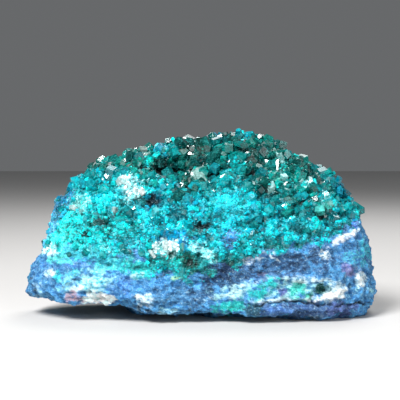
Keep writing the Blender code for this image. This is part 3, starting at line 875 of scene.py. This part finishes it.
def crystal_mesh(name, feet, axes, radii, rises, spins, colours, stretch):
    """One piece of many crystals, each with its own foot, axis, radius, rise of its tip, spin and colour."""
    count = len(feet)
    loops_one = np.concatenate([np.array(f) for f in TIP_FACES])
    sizes_one = np.array([len(f) for f in TIP_FACES])
    loops = (loops_one[None, :] + (np.arange(count) * len(TIP_POINTS))[:, None]).ravel()
    sizes = np.tile(sizes_one, count)
    mesh = bpy.data.meshes.new(name)
    mesh.vertices.add(count * len(TIP_POINTS))
    mesh.vertices.foreach_set("co", crystal_points(feet, axes, radii, rises, spins, stretch).ravel())
    mesh.loops.add(len(loops))
    mesh.loops.foreach_set("vertex_index", loops.astype(np.int32))
    mesh.polygons.add(len(sizes))
    starts = np.concatenate(([0], np.cumsum(sizes)[:-1]))
    mesh.polygons.foreach_set("loop_start", starts.astype(np.int32))
    mesh.update(calc_edges=True)
    mesh.polygons.foreach_set("use_smooth", np.zeros(len(sizes), dtype=bool))
    # painted light and shade on each face of each crystal
    face_painted_light = np.exp(rng.normal(0.0, FACE_PAINTED_LIGHT_SPREAD, (count, len(TIP_FACES))))
    face_colour = np.clip(colours[:, None, :] * face_painted_light[:, :, None], 0.0, 1.0)
    corner_colour = np.repeat(face_colour.reshape(-1, 3), sizes, axis=0)
    write_tint(mesh, corner_colour, "CORNER")
    mesh.validate()
    made = bpy.data.objects.new(name, mesh)
    bpy.context.scene.collection.objects.link(made)
    return made


# where crystals stand


class Spacing:
    """A grid of what is already placed, which says whether a new place is free."""

    def __init__(self, cell):
        self.cell = cell
        self.held = {}

    def key(self, place):
        return tuple(int(math.floor(c / self.cell)) for c in place)

    def free(self, place, radius, share):
        x, y, z = self.key(place)
        for i, j, k in product((-1, 0, 1), repeat=3):
            for other, size in self.held.get((x + i, y + j, z + k), ()):
                if math.dist(place, other) < (size + radius) * share:
                    return False
        return True

    def add(self, place, radius):
        self.held.setdefault(self.key(place), []).append((tuple(place), radius))


rng = np.random.default_rng(7)
spacing = Spacing(8.0)
heroes = crystal_places()
for foot, _, radius, _ in heroes:
    spacing.add(foot, radius * 0.8)

NO_CRYSTALS = 60.0  # the gaps count as this far below the crust's edge, so nothing grows there
inside = inside_fringe(rock_places) - NO_CRYSTALS * (in_gap > 0.45)
rock_place = picture_place(rock_places)

# Where crystals are big: what it is, picture place, half width and height, and how much.
BIG_ZONES = (
    ("crown", 225, 158, 105, 24, 1.0),
    ("right of the crown", 296, 178, 44, 32, 0.9),
    ("foot of the crown", 190, 186, 22, 14, 0.5),
    ("right flank", 325, 205, 20, 20, 0.4),
)
# Where only fine grains stand, in the same form.
FINE_ZONES = (
    ("white lump", 132, 189, 14, 13),
    ("left glow", 64, 228, 24, 26),
    ("white knob", 165, 249, 15, 10),
    ("pale knob", 206, 253, 15, 9),
    ("violet lump", 232, 238, 10, 9),
    ("pale left patch", 82, 204, 10, 9),
    ("bright middle", 228, 206, 16, 24),
)
CALMING = 0.75  # how far the grains lose their differences there


def calm_share(place):
    """1 where crystals differ as usual, towards 0 where the grains are fine and alike."""
    calm = np.ones(len(place[0]))
    for _, *zone in FINE_ZONES:
        calm = calm * (1.0 - CALMING * near_zone(place, *zone))
    return calm


SMALL_ANYWHERE, SMALLEST = 0.24, 0.06
calm = calm_share(rock_place)
bigness = SMALL_ANYWHERE + sum(near_zone(rock_place, *zone) * more for _, *zone, more in BIG_ZONES)
bigness = np.clip(bigness * calm**1.3, SMALLEST, 1.0)


def scatter(radii, tries, apart, edge, chance_power):
    """Random free places in the crust for crystals between two radii, larger where crystals are big."""
    rows = []
    for i in rng.permutation(len(rock_places))[:tries]:
        if inside[i] < edge:
            continue
        radius = between(*radii, rng.random() ** 1.6) * between(0.6, 1.0, bigness[i])
        if rng.random() > bigness[i] ** chance_power:
            continue
        if spacing.free(rock_places[i], radius, apart):
            spacing.add(rock_places[i], radius)
            rows.append((i, radius))
    index, held = zip(*rows)
    return np.array(index), np.array(held)


def lean_axes(ways, amount):
    """Ways that lean at random from the ones given."""
    axes = ways + rng.uniform(-1, 1, ways.shape) * amount
    return axes / np.linalg.norm(axes, axis=1)[:, None]


CRYSTAL_LIGHT = 1.3
# Clusters of like light and of like hue: noise size in mm, seed, octaves.
BROAD_CLUSTERS, NARROW_CLUSTERS, HUE_CLUSTERS = (10.0, 53.0, 2), (4.0, 59.0, 1), (6.0, 63.0, 2)


def crystal_colours(points, spread, raised, relief, contrast):
    """Each crystal's colour: its zone, broad light and dark clusters, with painted shade where it stands low
    and painted light where it stands high.
    """
    light_colour, dark_colour = painted(points, CRUST_ZONES, CRUST_FAR, CRUST_SEED)
    mixed = 0.15 + 0.85 * grains(points, 4.0, 34.0)[:, None]
    base = light_colour * mixed + dark_colour * (1 - mixed)
    light = CRYSTAL_LIGHT * np.exp(contrast * (
        rng.normal(0.0, spread, len(points))
        + field(points, *BROAD_CLUSTERS)
        + field(points, *NARROW_CLUSTERS) * 0.7
        # painted light and shade: crystals that rise higher or stand on raised rock are lighter, low ones
        # darker
        + (raised - 0.4) * 0.3
        + np.clip(relief, -1.5, 1.5) * 0.28
    ))
    hue = field(points, *HUE_CLUSTERS) * 0.12 + rng.normal(0.0, 0.03, len(points))
    tone = np.stack((np.full(len(points), 0.9), 1.0 + hue * 0.5, 1.0 - hue), axis=1)
    return np.clip(base * tone * light[:, None], 0.0, 1.0)


def grow(name, radii, tries, apart, lean, rise, edge, spread, chance_power, parts=("",)):
    """Crystals scattered over the crust, as one piece or as a piece for each part from left to right."""
    index, radii = scatter(radii, tries, apart, edge, chance_power)
    feet = rock_places[index]
    axes = lean_axes(rock_ways[index], lean)
    raised = rng.uniform(*rise, len(radii))
    spins = rng.uniform(0, math.tau, len(radii))
    stretch = rng.uniform(0.6, 1.0, len(radii))
    colours = crystal_colours(feet, spread, raised, rock_rise[index], calm[index])
    part_of = np.argsort(np.argsort(feet[:, 0])) * len(parts) // len(feet)
    made = []
    for number, part in enumerate(parts):
        own = part_of == number
        made.append(crystal_mesh(
            name + part, feet[own], axes[own], radii[own], (radii * raised)[own], spins[own],
            colours[own], stretch[own],
        ))
    return made


# Groups of large crystals that stand out, a few of them pale crystals as painted glints: what they are,
# picture place, spread, how many, radii and colour.
CLUMPS = (
    ("dark clump on the left", 134, 152, 8, 10, 2.2, 3.2, "#055a52"),
    ("teal one beside it", 148, 156, 3, 3, 2.0, 2.8, "#2fc0b6"),
    ("large dark clump", 192, 145, 10, 15, 2.4, 3.7, "#05584f"),
    ("dark one under it", 186, 157, 9, 6, 2.2, 3.4, "#066a60"),
    ("over the gap painted black as shade", 166, 157, 8, 6, 2.0, 3.2, "#1a9a96"),
    # painted highlight: a pale crystal where a glint shows
    ("pale crystal as a painted glint", 199, 170, 3, 2, 3.4, 4.0, "#c4f0ea"),
    ("dark under the glint", 196, 181, 8, 7, 2.6, 3.8, "#0a6a62"),
    ("blue teal", 233, 162, 8, 7, 2.2, 3.4, "#3a9ca2"),
    ("crest of the crown", 228, 141, 14, 8, 1.3, 2.0, "#2fa8b4"),
    ("right of the crest", 262, 145, 10, 9, 1.8, 2.6, "#067068"),
    # painted highlights: pale crystals where glints show
    ("painted glints on the right crown", 256, 155, 3, 2, 2.4, 3.0, "#bfeeee"),
    ("painted glints further right", 280, 157, 4, 3, 2.2, 2.8, "#a9e4e0"),
    ("pale crystal", 275, 179, 4, 3, 3.2, 4.2, "#a4d8d4"),
    ("dark beside it", 257, 176, 6, 5, 2.6, 3.6, "#06605a"),
    ("green on the right", 292, 168, 9, 8, 2.4, 3.8, "#0c8a80"),
    # painted highlight: a pale crystal where a glint shows
    ("pale crystal as a painted glint on the right", 301, 181, 4, 3, 2.4, 3.4, "#9adcd2"),
    ("right flank", 306, 196, 8, 6, 2.4, 3.6, "#2fa39a"),
    ("skyline on the right", 312, 166, 9, 8, 2.0, 3.0, "#08665e"),
    ("pale flank", 325, 201, 5, 4, 2.4, 3.4, "#86ccc8"),
    ("left shoulder", 103, 163, 10, 9, 1.8, 2.8, "#0b766c"),
    # painted highlight: a white crystal where a glint shows
    ("painted white glint on the shoulder", 93, 172, 2, 2, 2.0, 2.4, "#f0ffff"),
    ("grey prism", 117, 207, 1, 1, 2.6, 2.6, "#b4c4c4"),
    ("specks on the left", 100, 222, 10, 7, 1.6, 2.4, "#0a7674"),
    ("middle", 178, 196, 9, 5, 2.0, 3.0, "#12868a"),
    ("low middle", 160, 212, 10, 4, 1.8, 2.8, "#2fb8c0"),
)


CLUMP_SLACK, CLUMP_APART = 2.5, 0.55


def grow_clumps():
    """The large crystals of the clumps, each rooted in the front of the rock at its picture place."""
    front = (rock_ways[:, 1] < 0.1) & (inside > 0.0)
    across, down = rock_place
    rows = []
    for _, at_x, at_y, spread, count, low, high, code in CLUMPS:
        near = np.where(front & (np.hypot(across - at_x, down - at_y) < spread + CLUMP_SLACK))[0]
        held = []
        for i in rng.permutation(near)[: count * 30]:
            radius = rng.uniform(low, high)
            place = rock_places[i]
            if all(np.linalg.norm(place - other) > (radius + size) * CLUMP_APART for other, size in held):
                held.append((place, radius))
                rows.append((place, rock_ways[i], radius, linear(code)))
            if len(held) == count:
                break
    feet, ways, radii, colours = (np.array(each) for each in zip(*rows))
    count = len(radii)
    light = np.exp(rng.normal(0.0, 0.3, count))[:, None]
    axes = lean_axes(ways + np.array([0.0, 0.0, 0.25]), 0.5)
    raised = rng.uniform(0.3, 0.85, count)
    for foot, radius in zip(feet, radii):
        spacing.add(foot, radius * 0.75)
    spins = rng.uniform(0, math.tau, count)
    stretch = rng.uniform(0.7, 1.0, count)
    lit = np.clip(colours * light * 1.2, 0, 1)
    return crystal_mesh("clump_crystals", feet, axes, radii, radii * raised, spins, lit, stretch)


HERO_RISE = 1.2  # as in the part's source


def grow_large():
    """The solid's own large crystals, set on the finer rock and small where the crust is fine."""
    feet, axes = (np.array([tuple(hero[part]) for hero in heroes]) for part in (0, 1))
    radii, spins = (np.array([hero[part] for hero in heroes]) for part in (2, 3))
    feet -= axes * dent_depth(feet)[:, None]
    radii *= between(0.3, 1.0, calm_share(picture_place(feet)))
    same = np.ones(len(heroes))
    colours = crystal_colours(feet, 0.2, same * 0.6, same * 0.0, 1.0)
    return crystal_mesh("large_crystals", feet, axes, radii, radii * HERO_RISE, spins, colours, same)


large_crystals = grow_large()
clump_crystals = grow_clumps()
(crown_crystals,) = grow(
    "crown_crystals", radii=(1.4, 3.2), tries=70000, apart=0.42, lean=0.65, rise=(0.1, 0.8),
    edge=2.0, spread=0.16, chance_power=1.3,
)
(middle_crystals,) = grow(
    "middle_crystals", radii=(0.8, 1.6), tries=90000, apart=0.46, lean=0.75, rise=(0.0, 0.75),
    edge=0.5, spread=0.14, chance_power=1.1,
)
small_crystals = grow(
    "small_crystals", radii=(0.4, 0.8), tries=99000, apart=0.5, lean=0.85, rise=(0.0, 0.9),
    edge=-1.0, spread=0.16, chance_power=0.0, parts=("_left", "_right"),
)

# materials


class Wire:
    """A socket's value in Python sums: each sum adds its own Math node."""

    def __init__(self, tree, socket):
        self.tree, self.socket = tree, socket

    def sum_with(self, operation, first, second):
        node = self.tree.nodes.new("ShaderNodeMath")
        node.operation = operation
        for place, value in zip(node.inputs, (first, second)):
            if isinstance(value, Wire):
                self.tree.links.new(value.socket, place)
            else:
                place.default_value = value
        return Wire(self.tree, node.outputs[0])

    def __add__(self, other):
        return self.sum_with("ADD", self, other)

    def __radd__(self, other):
        return self.sum_with("ADD", other, self)

    def __sub__(self, other):
        return self.sum_with("SUBTRACT", self, other)

    def __rsub__(self, other):
        return self.sum_with("SUBTRACT", other, self)

    def __mul__(self, other):
        return self.sum_with("MULTIPLY", self, other)

    def __rmul__(self, other):
        return self.sum_with("MULTIPLY", other, self)


class Finish:
    """A material being made: its shader's own values are set by name, and nodes come from one method."""

    def __init__(self, name, **values):
        self.material = bpy.data.materials.new(name)
        self.material.use_nodes = True
        self.tree = self.material.node_tree
        self.shader = self.tree.nodes["Principled BSDF"]
        for key, value in values.items():
            self.shader.inputs[key.replace("_", " ")].default_value = value

    def node(self, kind, settings=None, output=0, **sockets):
        made = self.tree.nodes.new("ShaderNode" + kind)
        for key, value in (settings or {}).items():
            setattr(made, key, value)
        for key, value in sockets.items():
            numbered = key[0] == "i" and key[1:].isdigit()
            place = made.inputs[int(key[1:]) if numbered else key.replace("_", " ")]
            if isinstance(value, Wire):
                self.tree.links.new(value.socket, place)
            else:
                place.default_value = value
        return Wire(self.tree, made.outputs[output])

    def drive(self, name, wire):
        self.tree.links.new(wire.socket, self.shader.inputs[name])

    def here(self):
        """The piece's own Object coordinates, in metres."""
        return self.node("TexCoord", output=3)

    def noise(self, size, detail, rough, place=None):
        """Noise of a size in mm."""
        return self.node(
            "TexNoise", Vector=place or self.here(), Scale=1.0 / (size * MM), Detail=detail, Roughness=rough
        )

    def between(self, wire, low, high):
        """A wire's share of the way from a low value to a high one, as 0 to 1."""
        return self.node("MapRange", Value=wire, From_Min=low, From_Max=high)

    def mix(self, share, first, second):
        return self.node("Mix", {"data_type": "RGBA"}, output=2, i0=share, i6=first, i7=second)

    def lit(self, colour, wire, saturation):
        return self.node("HueSaturation", Color=colour, Value=wire, Saturation=saturation)


BAND_SLOPE, BAND_STRETCH = math.radians(14.0), (0.62, 1.0, 1.15)
# the pits' colour is painted shade, near black
FROST_COLOUR, PIT_SHADE_COLOUR = (0.62, 0.86, 0.92, 1.0), (0.01, 0.04, 0.09, 1.0)
VEIL_COLOUR = (0.10, 0.70, 0.68, 1.0)


def rock_finish():
    """Matt rock whose light and dark colours lie mottled along the bands, with frost, and pits painted dark
    as shade.
    """
    finish = Finish("matrix_rock", Roughness=0.8, Specular_IOR_Level=0.35)
    light, dark = (finish.node("Attribute", {"attribute_name": layer}) for layer in ("tint", "shade"))
    turn = (0.0, BAND_SLOPE, 0.0)
    along = finish.node("Mapping", Vector=finish.here(), Rotation=turn, Scale=BAND_STRETCH)
    mottle = finish.noise(2.4, 9.0, 0.72, along)
    grain = finish.noise(0.9, 5.0, 0.7)
    coarse = finish.noise(3.6, 6.0, 0.65, along)
    frost = finish.between(finish.noise(0.8, 4.0, 0.7), 0.56, 0.62)
    pits = finish.between(finish.noise(1.3, 5.0, 0.75, along), 0.43, 0.36)
    mixed = finish.mix(finish.between(mottle, 0.44, 0.53), dark, light)
    toned = finish.lit(mixed, 0.55 + grain * 0.9, 1.0)
    frosted = finish.mix(frost * finish.between(mottle, 0.40, 0.60) * 0.5, toned, FROST_COLOUR)
    # painted shade: the pits are darkened towards near black
    finish.drive("Base Color", finish.mix(pits * 0.55, frosted, PIT_SHADE_COLOUR))
    finish.drive("Roughness", 0.9 - frost * 0.35)
    height = grain * 0.5 + coarse + mottle * 0.8 - pits * 0.25
    finish.drive("Normal", finish.node("Bump", Height=height, Strength=0.85, Distance=1.4 * MM))
    return finish.material


def crystal_finish(name, roughness, transmission, gloss, unevenness, veil):
    """Glassy crystal with cloudy depth, and pale veils like healed cracks."""
    finish = Finish(
        name, Roughness=roughness, IOR=1.66, Transmission_Weight=transmission, Specular_IOR_Level=gloss
    )
    tint = finish.node("Attribute", {"attribute_name": "tint"})
    cloud = finish.between(finish.noise(1.9, 5.0, 0.7), 0.30, 0.70)
    crack = finish.noise(2.6, 4.0, 0.6)
    near_crack = finish.between(crack, 0.47, 0.495) * finish.between(crack, 0.53, 0.505)
    toned = finish.lit(tint, 0.25 + cloud * 1.25, 1.15)
    finish.drive("Base Color", finish.mix(near_crack * cloud * veil, toned, VEIL_COLOUR))
    height = finish.noise(1.0, 4.0, 0.7)
    finish.drive("Normal", finish.node("Bump", Height=height, Strength=unevenness, Distance=0.4 * MM))
    return finish.material


# finishing the pieces


def finish_rock():
    """Cuts the rock flat where it rests, and smooths its faces outside the crust."""
    deselect()
    bpy.context.view_layer.objects.active = rock
    rock.select_set(True)
    bpy.ops.object.mode_set(mode="EDIT")
    bpy.ops.mesh.select_all(action="SELECT")
    bpy.ops.mesh.bisect(
        plane_co=(0, 0, 0), plane_no=(0, 0, -1), use_fill=True, clear_outer=True, threshold=1e-4
    )
    bpy.ops.object.mode_set(mode="OBJECT")
    rock.name = "rock_with_blue_matrix"
    bare = [crust_edge(*face.center[:2]) > face.center.z for face in rock.data.polygons]
    rock.data.polygons.foreach_set("use_smooth", bare)
    finish_piece(rock, rock_finish())
    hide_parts(NODE)


finish_rock()
clear_crystal = crystal_finish("emerald_crystal", 0.07, 0.55, 0.28, 0.12, 0.7)
crust_crystal = crystal_finish("turquoise_crystal", 0.3, 0.0, 0.14, 0.3, 0.5)
for piece in (large_crystals, clump_crystals, crown_crystals):
    finish_piece(piece, clear_crystal)
for piece in (middle_crystals, *small_crystals):
    finish_piece(piece, crust_crystal)

# floor, lights and camera


FLOOR_SIZE, FLOOR_DROP = 6.0, 0.0001
LIGHTS_AT = Vector((0, 0, 0.05))
# Soft lights: name, power, size, place.
LIGHTS = (
    ("key_light", 21.0, 0.40, (-0.40, -0.65, 0.80)),
    ("fill_light", 6.0, 0.8, (0.75, -0.9, 0.40)),
    ("crown_light", 5.0, 0.6, (0.25, 0.5, 0.8)),
)


def make_stage():
    """A plain pale floor."""
    deselect()
    bpy.ops.mesh.primitive_plane_add(size=FLOOR_SIZE, location=(0, 0, -FLOOR_DROP))
    floor = bpy.context.object
    floor.name = "pale_floor"
    finish = Finish("pale_floor", Roughness=0.9, Base_Color=(0.55, 0.54, 0.53, 1.0))
    floor.data.materials.append(finish.material)


def make_lights():
    world = bpy.data.worlds.new("soft_studio")
    bpy.context.scene.world = world
    world.use_nodes = True
    colour, strength = world.node_tree.nodes["Background"].inputs[:2]
    colour.default_value = (0.62, 0.64, 0.66, 1.0)
    strength.default_value = 0.22
    for name, power, size, at in LIGHTS:
        lamp = bpy.data.lights.new(name, "AREA")
        lamp.energy, lamp.size = power, size
        made = bpy.data.objects.new(name, lamp)
        made.location = at
        made.rotation_mode = "QUATERNION"
        made.rotation_quaternion = (LIGHTS_AT - Vector(at)).to_track_quat("-Z", "Y")
        bpy.context.scene.collection.objects.link(made)


def make_camera():
    """The photograph's view of the front."""
    data = bpy.data.cameras.new("camera")
    data.lens, data.sensor_width = LENS, SENSOR
    data.clip_start, data.clip_end = 0.01, 20.0
    camera = bpy.data.objects.new("camera", data)
    camera.location = (camera_at + TO_MIDDLE) * MM
    camera.rotation_mode = "QUATERNION"
    camera.rotation_quaternion = (-camera_back).to_track_quat("-Z", "Y")
    bpy.context.scene.collection.objects.link(camera)
    bpy.context.scene.camera = camera


make_stage()
make_lights()
make_camera()
bpy.context.scene.view_settings.view_transform = "Standard"
